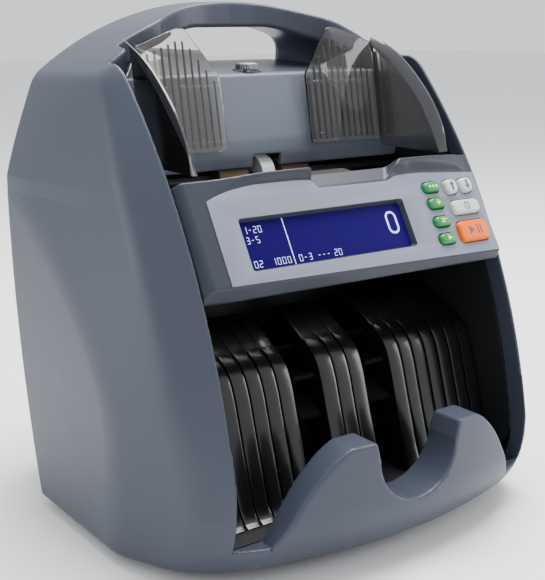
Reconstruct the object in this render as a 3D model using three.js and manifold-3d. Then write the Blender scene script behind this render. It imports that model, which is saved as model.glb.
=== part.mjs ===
// Banknote counting machine: desktop housing with a carrying handle, a top hopper, a tilted control panel
// and a stacker pocket in front. Millimetres, +Z up, front towards -Y, symmetric about X = 0.
import * as THREE from 'three';
import { mergeVertices } from 'three/addons/utils/BufferGeometryUtils.js';
import Module from 'manifold-3d';

const wasm = await Module();
wasm.setup();

// ---- driving dimensions -------------------------------------------------------------------------
const GAP = 0.3;                 // clearance between touching pieces
const FOOT_DROP = 3;             // feet below the housing's lower edge
const HALF_WIDTH = 132;          // widest half-width of the housing
const POCKET_HALF = 101;         // half-width between the side covers
const INSIDE_HALF = POCKET_HALF - 0.6;
const WALL = 3;
const TOE_RADIUS = 39;           // rounded toe under the front
const LIP_FRONT = -125.5;        // foremost point of the lip
const BOW_RADIUS = 285;          // bow of the front in plan
const BEZEL_RADIUS = 369;        // side view arc of the bezel's inner edge
const BEZEL_CENTRE = { y: 258, z: -7 };
const ARCH_RADIUS = 180;         // arched top seen from the front
const ARCH_CENTRE_Z = 106;
const HANDLE_REAR = 80.5;
const ARCH_FOOT_Z = 245.3;
const FLANGE_DEPTH = 14;         // side cover's return behind the bezel edge
const PANEL = { bottomY: -81.3, bottomZ: 145.2, topY: -50, topZ: 197.8, halfWidth: 100.3 };
const DISPLAY = { left: -70.5, right: 39.5, low: 10.8, high: 38.2 };
const KEY_TRAVEL = 1.2;
const FEED_AXIS = { y: -8, z: 163, radius: 27, shaft: 4 };
const COUNTER_AXIS = { y: 22, z: 186, shaft: 2.5 };
const FAN_AXIS = { y: -28, z: 66, radius: 36, shaft: 3 };
const FEED_MOTOR = { y: 44, z: 62, radius: 19 };
const STACK_MOTOR = { y: 36, z: 66, radius: 15 };
const MOTOR_SHAFT = 2.5;
const FEED_PULLEY_RADIUS = 14;
const FAN_PULLEY_RADIUS = 12;
const MOTOR_PULLEY_RADIUS = 7;
const BELT_THICKNESS = 1.6;
const BELT_SLACK = 0.5;
const PULLEY_INNER = 106;        // pulleys run outside the inner frames
const PULLEY_OUTER = 113;
const FLOOR_TOP = 22.5;          // stacker floor
const DOOR_BOTTOM = 62;
const REAR_HALF = 104;
const REAR_END = 125.1;
const DOOR_HINGE = { y: 113, z: 66.5, radius: 2 };
const SWING_GAP = 1.6;           // room for the door's lower edge to swing past the rear panel
const HINGE_LUGS = [-92, 0, 92];
const INLET = { x: -60, z: 31 };
const ROCKER = { x: -25, y: 113, z: 31 };

// ---- materials ----------------------------------------------------------------------------------
const paint = (color, roughness, metalness = 0) => (
  new THREE.MeshStandardMaterial({ color, roughness, metalness })
);
const LOOKS = {
  housing: paint(0x646b78, 0.5),
  label: paint(0xa5a8b4, 0.45),
  black: paint(0x15171a, 0.25),
  dark: paint(0x1d2024, 0.6),
  rubber: paint(0x141414, 0.85),
  tan: paint(0xa8744a, 0.7),
  white: paint(0xe6e6e2, 0.45),
  orange: paint(0xf08432, 0.4),
  green: paint(0x2f9e56, 0.4),
  display: paint(0x161a78, 0.1),
  smoke: paint(0x8b8680, 0.15),
  steel: paint(0xb8babd, 0.3, 1),
  board: paint(0x1c5a34, 0.5),
};

// ---- geometry helpers ---------------------------------------------------------------------------
const AXES = {
  x: [[0, 1, 0], [0, 0, 1], [1, 0, 0]],
  y: [[1, 0, 0], [0, 0, 1], [0, -1, 0]],
  z: [[1, 0, 0], [0, 1, 0], [0, 0, 1]],
};

// An outline swept straight from one coordinate to another: (y, z) along x, (x, z) along y, (x, y) along z.
function prism(axis, outline, from, to, holes = []) {
  const flat = (points) => points.map(([a, b]) => new THREE.Vector2(a, b));
  const shape = new THREE.Shape(flat(outline));
  shape.holes.push(...holes.map((hole) => new THREE.Path(flat(hole))));
  const geometry = new THREE.ExtrudeGeometry(shape, { depth: to - from, bevelEnabled: false });
  const [u, v, w] = AXES[axis].map((e) => new THREE.Vector3(...e));
  geometry.applyMatrix4(new THREE.Matrix4().makeBasis(u, v, w));
  const start = w.clone().multiplyScalar(axis === 'y' ? -to : from);
  return geometry.translate(start.x, start.y, start.z);
}

const box = (x0, x1, y0, y1, z0, z1) => prism('z', [[x0, y0], [x1, y0], [x1, y1], [x0, y1]], z0, z1);

// A cylinder along x.
function rod(radius, x0, x1, y, z, sides = 16) {
  const geometry = new THREE.CylinderGeometry(radius, radius, x1 - x0, sides);
  return geometry.rotateZ(Math.PI / 2).translate((x0 + x1) / 2, y, z);
}

// A solid through a row of rings with the same number of points; flat() gives a point's place in the cap.
function loft(rings, flat) {
  const count = rings[0].length;
  const index = [];
  for (let k = 0; k < rings.length - 1; k += 1) {
    for (let i = 0; i < count; i += 1) {
      const a = k * count + i;
      const b = k * count + ((i + 1) % count);
      index.push(a, b, b + count, a, b + count, a + count);
    }
  }
  const cap = (ring, base, flip) => {
    const faces = THREE.ShapeUtils.triangulateShape(ring.map((p) => new THREE.Vector2(...flat(p))), []);
    for (const [a, b, c] of faces) {
      index.push(base + a, base + (flip ? c : b), base + (flip ? b : c));
    }
  };
  cap(rings[0], 0, true);
  cap(rings.at(-1), (rings.length - 1) * count, false);
  const geometry = new THREE.BufferGeometry();
  geometry.setAttribute('position', new THREE.Float32BufferAttribute(rings.flat(2), 3));
  geometry.setIndex(index);
  return outward(geometry);
}

function volumeOf(geometry) {
  const { position } = geometry.attributes;
  const at = (i) => new THREE.Vector3().fromBufferAttribute(position, geometry.index.getX(i));
  let sum = 0;
  for (let i = 0; i < geometry.index.count; i += 3) {
    sum += at(i).dot(at(i + 1).cross(at(i + 2)));
  }
  return sum / 6;
}

function flipped(geometry) {
  const order = Array.from(geometry.index.array);
  for (let i = 0; i < order.length; i += 3) {
    [order[i], order[i + 1]] = [order[i + 1], order[i]];
  }
  geometry.setIndex(order);
  return geometry;
}

const outward = (geometry) => (volumeOf(geometry) < 0 ? flipped(geometry) : geometry);

function merged(geometry) {
  const bare = geometry.clone();
  bare.deleteAttribute('normal');
  bare.deleteAttribute('uv');
  return mergeVertices(bare, 1e-4);
}

function solid(geometry) {
  const clean = outward(merged(geometry));
  const mesh = new wasm.Mesh({
    numProp: 3,
    vertProperties: new Float32Array(clean.attributes.position.array),
    triVerts: new Uint32Array(clean.index.array),
  });
  return new wasm.Manifold(mesh);
}

function surface(manifold) {
  const mesh = manifold.getMesh();
  const geometry = new THREE.BufferGeometry();
  geometry.setAttribute('position', new THREE.Float32BufferAttribute(mesh.vertProperties, 3));
  geometry.setIndex(Array.from(mesh.triVerts));
  return geometry;
}

function combined(how, base, tools) {
  return surface(tools.reduce((body, tool) => body[how](solid(tool)), solid(base)));
}
const cut = (base, ...tools) => combined('subtract', base, tools);
const join = (base, ...others) => combined('add', base, others);
const common = (base, tool) => surface(solid(base).intersect(solid(tool)));

const mirrored = (geometry) => flipped(merged(geometry).scale(-1, 1, 1));

function circle(radius, a, b, sides = 16) {
  const points = [];
  for (let i = 0; i < sides; i += 1) {
    const angle = (i / sides) * 2 * Math.PI;
    points.push([a + radius * Math.cos(angle), b + radius * Math.sin(angle)]);
  }
  return points;
}

function arc(radius, a, b, fromDeg, toDeg, steps) {
  const points = [];
  for (let i = 0; i <= steps; i += 1) {
    const angle = THREE.MathUtils.degToRad(fromDeg + ((toDeg - fromDeg) * i) / steps);
    points.push([a + radius * Math.cos(angle), b + radius * Math.sin(angle)]);
  }
  return points;
}

function roundedRect(cx, cy, width, height, radius) {
  const w = width / 2 - radius;
  const h = height / 2 - radius;
  return [
    ...arc(radius, cx + w, cy + h, 0, 90, 4),
    ...arc(radius, cx - w, cy + h, 90, 180, 4),
    ...arc(radius, cx - w, cy - h, 180, 270, 4),
    ...arc(radius, cx + w, cy - h, 270, 360, 4),
  ];
}

// An outline from points that follow a function of one coordinate.
const along = (from, to, steps, point) => (
  Array.from({ length: steps + 1 }, (_, i) => point(from + ((to - from) * i) / steps))
);

// Values of a table at a key; beyond the last row the last slope goes on.
function interpolate(table, key) {
  const above = table.findIndex(([k]) => k > key);
  const row = above < 0 ? table.length - 2 : Math.max(0, above - 1);
  const [k0, ...low] = table[row];
  const [k1, ...high] = table[row + 1];
  const t = (key - k0) / (k1 - k0);
  return low.map((value, i) => value + (high[i] - value) * t);
}

// ---- housing curves -----------------------------------------------------------------------------
// How far the toe lies behind the front face at a height.
function toe(z) {
  const depth = Math.min(TOE_RADIUS, TOE_RADIUS - Math.max(z, 1));
  return z >= TOE_RADIUS ? 0 : TOE_RADIUS - Math.sqrt(TOE_RADIUS ** 2 - depth ** 2);
}

function bezelFront(z) {
  const height = Math.max(z, TOE_RADIUS);
  const y = BEZEL_CENTRE.y - Math.sqrt(BEZEL_RADIUS ** 2 - (height - BEZEL_CENTRE.z) ** 2);
  return y + toe(z);
}

// Outer edge of the bezel band: height, half-width, y.
const BEZEL_EDGE = [
  [0, 118, -91.5], [39, 115, -91.5], [97, 121, -73], [148, 121, -53], [190, 120, -32], [222, 115, -14],
  [250, 111, 4],
];
const CREASE = { low: 67, high: 183, front: -35, rise: 106, power: 1.75 };

function bezelEdge(z) {
  const [x, y] = interpolate(BEZEL_EDGE, z);
  return [x, y + toe(z)];
}

const rearEdge = (z) => (z < 181 ? 84 - 27 * ((181 - z) / 181) ** 2 : 84 - (z - 181) * 0.05);
const rearHalfWidth = (z) => HALF_WIDTH - (z < 190 ? 0 : 17 * ((z - 190) / 54) ** 1.15);

function crease(z) {
  const { low, high, front, rise, power } = CREASE;
  if (z < high) {
    return [HALF_WIDTH, front + (z > low ? rise * ((z - low) / (high - low)) ** power : 0)];
  }
  const [ex, ey] = bezelEdge(z);
  const t = 0.12;
  const bulge = 0.4;
  return [rearHalfWidth(z) + (ex - rearHalfWidth(z)) * t + bulge, rearEdge(z) + (ey - rearEdge(z)) * t];
}

const archZ = (x, radius = ARCH_RADIUS) => ARCH_CENTRE_Z + Math.sqrt(radius ** 2 - x ** 2);
const frontBow = (x) => LIP_FRONT + x ** 2 / (2 * BOW_RADIUS);

// ---- side cover ---------------------------------------------------------------------------------
const COVER_HEIGHTS = [0, 3, 8, 16, 26, 39, 67, 97, 128, 151, 172, 183, 200, 217, 233, 258];
const CAVITY_TOP = 252;
const EDGE_ROUND = 7;

function coverOutline(z) {
  const edge = new THREE.Vector2(...bezelEdge(z));
  const inner = new THREE.Vector2(POCKET_HALF, bezelFront(z));
  const fold = new THREE.Vector2(...crease(z));
  const reach = Math.min(EDGE_ROUND, edge.distanceTo(inner) * 0.4);
  const before = edge.clone().add(inner.clone().sub(edge).setLength(reach));
  const after = edge.clone().add(fold.clone().sub(edge).setLength(EDGE_ROUND));
  const middle = edge.clone().multiplyScalar(0.5).addScaledVector(before, 0.25).addScaledVector(after, 0.25);
  const rear = new THREE.Vector2(rearHalfWidth(z), rearEdge(z));
  return [inner, before, middle, after, fold, rear];
}

// The outline moved inwards by a wall thickness.
function insetOutline(points, distance) {
  const normals = points.slice(1).map((p, i) => {
    const d = p.clone().sub(points[i]).normalize();
    return new THREE.Vector2(-d.y, d.x);
  });
  return points.map((p, i) => {
    const a = normals[Math.max(0, i - 1)];
    const b = normals[Math.min(normals.length - 1, i)];
    const mitre = a.clone().add(b);
    return p.clone().addScaledVector(mitre, distance / (1 + a.dot(b)));
  });
}

function coverRing(z) {
  const points = [...coverOutline(z), new THREE.Vector2(POCKET_HALF, rearEdge(z))];
  return points.map((p) => [p.x, p.y, z]);
}

function cavityRing(z, level) {
  const inset = insetOutline(coverOutline(z), WALL);
  const [first, second] = inset;
  const slope = (second.y - first.y) / (second.x - first.x);
  const wallX = POCKET_HALF + WALL;
  const open = POCKET_HALF - 6;
  const flangeEnd = bezelFront(z) + FLANGE_DEPTH;
  const points = [[open, flangeEnd], [wallX, flangeEnd], [wallX, first.y + slope * (wallX - first.x)]];
  points.push(...inset.slice(1, 5).map((p) => [p.x, p.y]));
  points.push([rearHalfWidth(z) - WALL, rearEdge(z) + 10], [open, rearEdge(z) + 10]);
  return points.map(([x, y]) => [x, y, level]);
}

function archClip(drop) {
  const radius = ARCH_RADIUS - drop;
  const curve = along(110.5 - drop * 0.6, 80, 6, (x) => [x, archZ(x, radius)]);
  const corner = [[116.5 - drop, 239], [115.2 - drop, 243.5 - drop], [113.2 - drop, 246.3 - drop]];
  return [[80, -20], [160, -20], [160, 239], ...corner, ...curve];
}

function sideCover() {
  const plan = ([x, y]) => [x, y];
  const outer = loft(COVER_HEIGHTS.map((z) => coverRing(z)), plan);
  const shell = common(outer, prism('y', archClip(0), -200, 200));
  const levels = COVER_HEIGHTS.map((z) => Math.min(z, CAVITY_TOP));
  const rings = levels.map((z, i) => cavityRing(z, i === 0 ? -5 : z));
  const cavity = common(loft(rings, plan), prism('y', archClip(WALL), -200, 200));
  return cut(shell, cavity);
}

// ---- handle, deck, apron ------------------------------------------------------------------------
const footInner = (y) => 51 + (80 - y) * 0.62;

function carryHandle() {
  const top = along(INSIDE_HALF, -INSIDE_HALF, 26, (x) => [x, archZ(x)]);
  const block = prism('y', [[-INSIDE_HALF, ARCH_FOOT_Z], [INSIDE_HALF, ARCH_FOOT_Z], ...top], 5, HANDLE_REAR);
  const edge = [[112, 11], [91, 10], [88.5, 12], [86.5, 27], [61, 28], [50, 37], [39, 43.5], [30, 46.5]];
  edge.push([15, 49.3]);
  const front = [[-112, -20], [112, -20], ...edge, [0, 50], ...edge.map(([x, y]) => [-x, y]).reverse()];
  const opening = [[81, 262, 31, 269], [0, 252.3, 37, 274]].map(([y, shoulder, flat, crown]) => {
    const half = footInner(y);
    const middle = [(half + flat) / 2, (shoulder + crown) / 2 + 1];
    const right = [[half, 240], [half, shoulder], middle, [flat, crown]];
    const left = right.map(([x, z]) => [-x, z]).reverse();
    return [...right, ...left].map(([x, z]) => [x, y, z]);
  });
  return cut(block, prism('z', front, 235, 300), loft(opening, ([x, , z]) => [x, z]));
}

const DECK_FRONT = 24.4;
const SCREW = { x: 0, y: 33, z: 247.2, stem: 2, length: 9, radius: 7.6 };

function topDeck() {
  const rear = HANDLE_REAR - 1;
  const slab = prism('x', [[DECK_FRONT, 242.6], [rear, 247.9], [rear, 250.5], [DECK_FRONT, 245.2]], -95, 95);
  const [front, back] = [DECK_FRONT - 5, rear + 5];
  const plan = [[1 - footInner(front), front], [footInner(front) - 1, front]];
  plan.push([footInner(back) - 1, back], [1 - footInner(back), back]);
  return common(slab, prism('z', plan, 230, 260, [circle(SCREW.stem + 0.4, SCREW.x, SCREW.y, 12)]));
}

const LIP = { top: 70, flatInner: 28.5, flatOuter: 42.8, foot: 83.3, rearTop: -105, rearLow: -99 };

// Outline of the lip seen from the front: floor, hill with flat tops, U-shaped finger cut-out.
function lipOutline(drop) {
  const hill = new THREE.QuadraticBezierCurve(
    new THREE.Vector2(LIP.foot - drop, FLOOR_TOP - drop),
    new THREE.Vector2(68 - drop, 56 - drop),
    new THREE.Vector2(LIP.flatOuter - drop, LIP.top - drop),
  );
  const slope = hill.getPoints(6).map((p) => [p.x, p.y]);
  const notch = [[LIP.flatInner + drop, LIP.top - drop], ...arc(26 + drop, 0, 60, 0, -90, 6)];
  const half = [[INSIDE_HALF - drop, -5], [INSIDE_HALF - drop, FLOOR_TOP - drop], ...slope, ...notch];
  return [...half, ...half.slice(0, -1).reverse().map(([x, z]) => [-x, z])];
}

const FRONT_HEIGHTS = [0, 3, 8, 16, 26, 39, 75];
const LEDGE = { front: -97.3, top: 19.2, rear: -66 };

// Plan outline of the bowed front at a height, moved in by a wall and set at a level.
function frontRing(z, inset, rearY, level) {
  const half = INSIDE_HALF - inset;
  const front = along(-half, half, 12, (x) => [x, frontBow(x) + toe(z) + inset]);
  return [...front, [half, rearY], [-half, rearY]].map(([x, y]) => [x, y, level]);
}

// Side view of the space behind the lip, above the floor and above the ledge that carries the stacker floor.
function pocketSpace(wall) {
  const floor = FLOOR_TOP - wall;
  const ledge = LEDGE.top - wall;
  const lip = [[LIP.rearTop - wall, 80], [LIP.rearLow - wall, floor]];
  return [...lip, [LEDGE.front - wall, floor], [LEDGE.front - wall, ledge], [-60, ledge], [-60, 80]];
}

function frontApron() {
  const plan = ([x, y]) => [x, y];
  const block = loft(FRONT_HEIGHTS.map((z) => frontRing(z, 0, LEDGE.rear, z)), plan);
  const shaped = common(block, prism('y', lipOutline(0), -140, -50));
  const rings = FRONT_HEIGHTS.map((z, i) => frontRing(z, WALL, LEDGE.rear - WALL, i === 0 ? -6 : z));
  const hollow = loft(rings, plan);
  const hillHollow = common(hollow, prism('y', lipOutline(WALL), -140, -50));
  const cavity = cut(hillHollow, prism('x', pocketSpace(WALL), -110, 110));
  return cut(shaped, prism('x', pocketSpace(0), -110, 110), cavity);
}

// ---- base, frames, floor ------------------------------------------------------------------------
const BASE_TOP = 3;
const BASE_CORNERS = [[92, -64], [108, -58], [126, -20], [126, 54]];

function basePlate() {
  return prism('z', [...BASE_CORNERS, ...BASE_CORNERS.map(([x, y]) => [-x, y]).reverse()], 0.8, BASE_TOP);
}

const FRAME_HEIGHTS = [BASE_TOP + GAP, 16, 39, 67, 97, 128, 160, 190, 220, 249];

function innerFrame() {
  const front = FRAME_HEIGHTS.map((z) => [Math.max(bezelFront(z), bezelFront(39)) + FLANGE_DEPTH + GAP, z]);
  front[0] = [-60, front[0][1]];
  front[1] = [-80, front[1][1]];
  const rear = [249, 190, 120, 60, BASE_TOP + GAP].map((z) => [rearEdge(z) - 5, z]);
  const holes = [FEED_AXIS, COUNTER_AXIS, FAN_AXIS].map(({ y, z, shaft }) => circle(shaft + 0.4, y, z, 16));
  holes.push(...[FEED_MOTOR, STACK_MOTOR].map(({ y, z }) => circle(MOTOR_SHAFT + 0.8, y, z)));
  return prism('x', [...front, ...rear], POCKET_HALF + GAP, POCKET_HALF + WALL, holes);
}

function stackerFloor() {
  return box(-INSIDE_HALF, INSIDE_HALF, LEDGE.front + GAP, -10, LEDGE.top + GAP, FLOOR_TOP - GAP);
}

// ---- stacker guide blocks -----------------------------------------------------------------------
// Side view of a block: up the front face, round the shoulder and back over the top.
const BLOCK_FRONT = [[-85, FLOOR_TOP + GAP], [-79, 28], [-75.5, 36], [-68, 60], [-60.5, 84]];
const BLOCK_CROWN = [[-56, 93.5], [-50.5, 99], [-43.5, 103.5], [-30, 110], [-12, 115]];
const BLOCK_REAR = -11;

function guideBlock(x0, x1) {
  const outer = [...BLOCK_FRONT, ...BLOCK_CROWN, [BLOCK_REAR, 115.2], [BLOCK_REAR, FLOOR_TOP + GAP]];
  const inner = [[-77, FLOOR_TOP - 4], [-72, 37], [-64.5, 61], [-57, 84], [-53, 92], [-42, 100.3]];
  inner.push([-29, 106.8], [-12, 111.6], [20, 111.6], [20, FLOOR_TOP - 4]);
  const shaftHole = rod(FAN_AXIS.shaft + 2, x0 - 5, x1 + 5, FAN_AXIS.y, FAN_AXIS.z, 12);
  return cut(prism('x', outer, x0, x1), prism('x', inner, x0 + 2.5, x1 - 2.5), shaftHole);
}

// ---- hopper -------------------------------------------------------------------------------------
const WALL_FACE = [[13, 192.5], [12, 200], [12.5, 207], [21.5, 245]];

function hopperBackWall() {
  const back = WALL_FACE.map(([y, z]) => [y + 2.6, z]).reverse();
  const wall = prism('x', [...WALL_FACE, ...back], -INSIDE_HALF, INSIDE_HALF);
  return cut(wall, box(-10, 10, 5, 20, 185, 199.5));
}

function hopperFloor() {
  const side = [[-40.5, 187.5], [-12, 184], [-12, 186.5], [-40.5, 190]];
  const slab = prism('x', side, -INSIDE_HALF, INSIDE_HALF);
  return cut(slab, box(-43, -11, -32, -5, 175, 195), box(11, 43, -32, -5, 175, 195));
}

const GUIDE = { inner: 30, peakX: 50, outer: 83, low: 204, innerTop: 244.5, peakTop: 271, outerTop: 262 };
const LEAN = 0.194;              // how far the guides lean back per millimetre of height
const guideFace = (z) => 9.2 + LEAN * (z - GUIDE.low);

// Leaning slotted plate with a curved wing along its outer edge: the wing's front bulges up to a tip.
function noteGuide() {
  const { inner, peakX, outer, low, innerTop, peakTop, outerTop } = GUIDE;
  const overlap = outer + 0.8;
  const outline = [[inner, low], [overlap, low], [overlap, outerTop], [peakX + 6, peakTop], [peakX, peakTop]];
  const flat = prism('y', [...outline, [inner, innerTop]], 0, 2);
  flat.applyMatrix4(new THREE.Matrix4().makeShear(0, 0, 0, 0, 0, LEAN));
  flat.translate(0, guideFace(0) - 2, 0);
  const bulge = [[-46, 198.8], [-43, 206], [-36, 214], [-27, 227], [-15, 242], [-3, 253], [10, 262]];
  const rear = [[20, 267], [24, 267.5], [22, 262], [9.6, 206], [8.4, 198.8]];
  const wing = prism('x', [...bulge, ...rear], outer, outer + 2.4);
  return join(flat, wing);
}

function thumbscrew() {
  const { stem, length, radius } = SCREW;
  const profile = [[0, -length], [stem, -length], [stem, 0], [radius - 0.6, 0], [radius, 1], [radius, 4]];
  profile.push([radius - 1, 5], [0, 5]);
  const knob = new THREE.LatheGeometry(profile.map(([r, z]) => new THREE.Vector2(r, z)), 16);
  return merged(knob.rotateX(Math.PI / 2));
}

// ---- control panel, in its own frame: x across, y up the slope, z outwards -----------------------
const PANEL_LENGTH = Math.hypot(PANEL.topY - PANEL.bottomY, PANEL.topZ - PANEL.bottomZ);
const PANEL_TILT = Math.atan2(PANEL.topZ - PANEL.bottomZ, PANEL.topY - PANEL.bottomY);
const LABEL = { left: -85.5, right: 99.4, low: 4, high: 51.5 };
const NOTCH = { left: -16, right: 44, floor: 52, depth: 22 };
const KEYS = [
  { name: 'key_green_1', x: 62.8, y: 43.7, width: 12.4, height: 6.4, corner: 3, look: LOOKS.green },
  { name: 'key_green_2', x: 62.7, y: 33.8, width: 12.4, height: 6.4, corner: 3, look: LOOKS.green },
  { name: 'key_green_3', x: 62.4, y: 22.8, width: 12.4, height: 6.4, corner: 3, look: LOOKS.green },
  { name: 'key_green_4', x: 62.1, y: 12.4, width: 12.4, height: 6.4, corner: 3, look: LOOKS.green },
  { name: 'key_up', x: 77.4, y: 42.6, width: 9.6, height: 9, corner: 3.4, look: LOOKS.white },
  { name: 'key_down', x: 89.1, y: 42.6, width: 9.6, height: 9, corner: 3.4, look: LOOKS.white },
  { name: 'key_set', x: 83.3, y: 29.6, width: 21.4, height: 8.8, corner: 2.6, look: LOOKS.white },
  { name: 'key_start', x: 83.1, y: 14.9, width: 22.4, height: 12.6, corner: 2.6, look: LOOKS.orange },
];
const keyOutline = ({ x, y, width, height, corner }, grow) => (
  roundedRect(x, y, width + 2 * grow, height + 2 * grow, corner + grow)
);

// What the notch takes off the top ridge: level floor, upright left side, ramp on the right.
function notchSpace() {
  const { left, right, floor, depth } = NOTCH;
  const drop = depth / Math.tan(PANEL_TILT);
  const side = [[floor, 8], [floor, 0], [floor + drop, -depth], [80, -depth], [80, 8]];
  const front = [[left, 80], [left + 2, floor - 2], [right - 12, floor - 2], [right, 60], [right, 80]];
  return common(prism('x', side, left - 5, right + 5), prism('z', front, -30, 10));
}

function panelHousing() {
  const outer = [[0, 0], [52, 0], [56.5, 1], [59.5, 3], [62, 2.6], [62.8, 0], [61.5, -5], [54, -12]];
  outer.push([50, -18], [8, -18], [-3.5, -8], [-4.5, -3.5]);
  const inner = [[1.5, -2.5], [49.5, -2.5], [49.5, -30], [4.5, -30], [-0.5, -7.5]];
  const half = PANEL.halfWidth;
  const shell = cut(prism('x', outer, -half, half), prism('x', inner, WALL - half, half - WALL));
  const { left, right, low, high } = DISPLAY;
  const openings = [notchSpace(), box(left - 1, right + 1, low - 1, high + 1, -9, 9)];
  openings.push(...KEYS.map((key) => prism('z', keyOutline(key, 0.5), -9, 9)));
  return cut(shell, ...openings);
}

function panelLabel() {
  const { left, right, low, high } = LABEL;
  const sheet = roundedRect((left + right) / 2, (low + high) / 2, right - left, high - low, 3);
  const windowHole = roundedRect(
    (DISPLAY.left + DISPLAY.right) / 2,
    (DISPLAY.low + DISPLAY.high) / 2,
    DISPLAY.right - DISPLAY.left,
    DISPLAY.high - DISPLAY.low,
    1.5,
  );
  return prism('z', sheet, GAP, GAP + 0.7, [windowHole, ...KEYS.map((key) => keyOutline(key, 0.5))]);
}

const displayWindow = () => box(DISPLAY.left, DISPLAY.right, DISPLAY.low, DISPLAY.high, -2.4, -1.2);

function displayModule() {
  return box(DISPLAY.left - 5, DISPLAY.right + 5, DISPLAY.low - 4, DISPLAY.high + 4, -11, -2.8);
}

const keyBoard = () => box(54, 97, 4.8, 48.6, -8.2, -6.6);

function keyCap(key) {
  const centre = new THREE.Vector3(key.x, key.y, 0);
  const cap = prism('z', keyOutline(key, 0), -4.6, 3.2);
  return { geometry: cap.translate(-centre.x, -centre.y, 0), centre };
}

// ---- drive --------------------------------------------------------------------------------------
function shaftWithEnds(axis, x0, x1) {
  return rod(axis.shaft, x0, x1, axis.y, axis.z);
}

const wheelOn = (axis, radius, x0, x1, sides = 24) => cut(
  rod(radius, x0, x1, axis.y, axis.z, sides),
  rod(axis.shaft + GAP, x0 - 1, x1 + 1, axis.y, axis.z),
);

const FAN_VANES = 10;

// A hub with curved vanes that catch each note.
function fanWheel(x0, x1) {
  const points = [];
  const hub = 11;
  for (let i = 0; i < FAN_VANES; i += 1) {
    const start = (i / FAN_VANES) * 2 * Math.PI;
    const polar = (radius, turn) => [
      FAN_AXIS.y + radius * Math.cos(start + turn),
      FAN_AXIS.z + radius * Math.sin(start + turn),
    ];
    points.push(polar(hub, 0), polar(22, 0.2), polar(FAN_AXIS.radius, 0.62));
    points.push(polar(FAN_AXIS.radius - 0.6, 0.68), polar(22, 0.31), polar(hub, 0.24));
  }
  return prism('x', points, x0, x1, [circle(FAN_AXIS.shaft + GAP, FAN_AXIS.y, FAN_AXIS.z)]);
}

// A flat belt round two pulleys.
function belt(first, firstRadius, second, secondRadius) {
  const loop = (grow) => {
    const length = Math.hypot(second.y - first.y, second.z - first.z);
    const heading = THREE.MathUtils.radToDeg(Math.atan2(second.z - first.z, second.y - first.y));
    const swing = THREE.MathUtils.radToDeg(Math.acos((firstRadius - secondRadius) / length));
    const round = ({ y, z }, radius, from, to) => arc(radius + grow, y, z, heading + from, heading + to, 12);
    return [...round(second, secondRadius, -swing, swing), ...round(first, firstRadius, swing, 360 - swing)];
  };
  const width = [PULLEY_INNER + 0.6, PULLEY_OUTER - 0.6];
  return prism('x', loop(BELT_SLACK + BELT_THICKNESS), ...width, [loop(BELT_SLACK)]);
}

// A motor can with a smaller end boss, whose tip is at bossX.
function motorCan({ y, z, radius }, x0, x1, bossX) {
  const root = bossX > x1 ? x1 - 1 : x0 + 1;
  const boss = rod(radius * 0.4, Math.min(root, bossX), Math.max(root, bossX), y, z);
  return join(rod(radius, x0, x1, y, z, 24), boss);
}

// Curved plate that turns each note round under the feed drums.
function noteGuidePlate() {
  const inside = arc(FEED_AXIS.radius + 4, FEED_AXIS.y, FEED_AXIS.z, -5, -125, 10);
  const outside = arc(FEED_AXIS.radius + 6, FEED_AXIS.y, FEED_AXIS.z, -125, -5, 10);
  return prism('x', [...inside, ...outside], -INSIDE_HALF, INSIDE_HALF);
}

// ---- rear ---------------------------------------------------------------------------------------
// Frame that closes the back of the side covers, in one piece with the box for the inlet and the switch.
function rearPanel() {
  const heights = [BASE_TOP + GAP, 30, 60, 90, 120, 150, 181, 200, 217, 233, 241];
  const faces = heights.map((z) => [rearEdge(z) - 0.8, z]);
  const backs = heights.map((z) => [rearEdge(z) - 3, z]).reverse();
  const side = heights.map((z) => [rearHalfWidth(z) - WALL - 1.4, z]);
  const outline = [...side, ...side.map(([x, z]) => [-x, z]).reverse()];
  const sheet = common(prism('x', [...faces, ...backs], -140, 140), prism('y', outline, 0, 100));
  const top = DOOR_BOTTOM - 0.5;
  const outer = [[55, 0], [104, 0], [113, 5], [116, 14], [116.6, top]];
  outer.push([rearEdge(top) - 2, top], [rearEdge(30) - 2, 30]);
  const inner = [[40, WALL], [103, WALL], [110.5, 7.5], [113, 15], [113.6, top - WALL], [40, top - WALL]];
  const half = REAR_HALF - WALL;
  const doorway = box(-96, 96, 50, 100, -5, 230);
  const lowBox = prism('x', outer, -REAR_HALF, REAR_HALF);
  const inletHole = box(INLET.x - 14.4, INLET.x + 14.4, 105, 125, INLET.z - 10.4, INLET.z + 10.4);
  const switchHole = box(ROCKER.x - 5, ROCKER.x + 5, 105, 125, ROCKER.z - 9.4, ROCKER.z + 9.4);
  return cut(join(cut(sheet, doorway), lowBox), prism('x', inner, -half, half), inletHole, switchHole);
}

function rearDoor() {
  const corner = arc(DOOR_HINGE.z - DOOR_BOTTOM, DOOR_HINGE.y, DOOR_HINGE.z, -90, 0, 4);
  const outer = [...corner, [124, 84], [REAR_END, 100], [REAR_END, 180], [121.5, 205], [112, 226], [97, 239]];
  outer.push(...[242, 181, 120, 80].map((z) => [rearEdge(z) + GAP, z]));
  outer.push([rearEdge(DOOR_BOTTOM) + SWING_GAP, DOOR_BOTTOM]);
  const inner = [[60, 64.6], [107.5, 64.6], [108, 71], [116.4, 72], [121.4, 85], [REAR_END - 2.6, 100]];
  inner.push([REAR_END - 2.6, 180], [119, 204], [110, 224], [96, 236], [85, 239], [60, 239]);
  const half = REAR_HALF - 2.6;
  const shell = cut(prism('x', outer, -REAR_HALF, REAR_HALF), prism('x', inner, -half, half));
  const { y, z, radius } = DOOR_HINGE;
  const lugPockets = HINGE_LUGS.map((x) => rod(9.5, x - 2.6, x + 2.6, y, z));
  return cut(shell, rod(radius + 0.4, -110, 110, y, z, 12), ...lugPockets);
}

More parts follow.
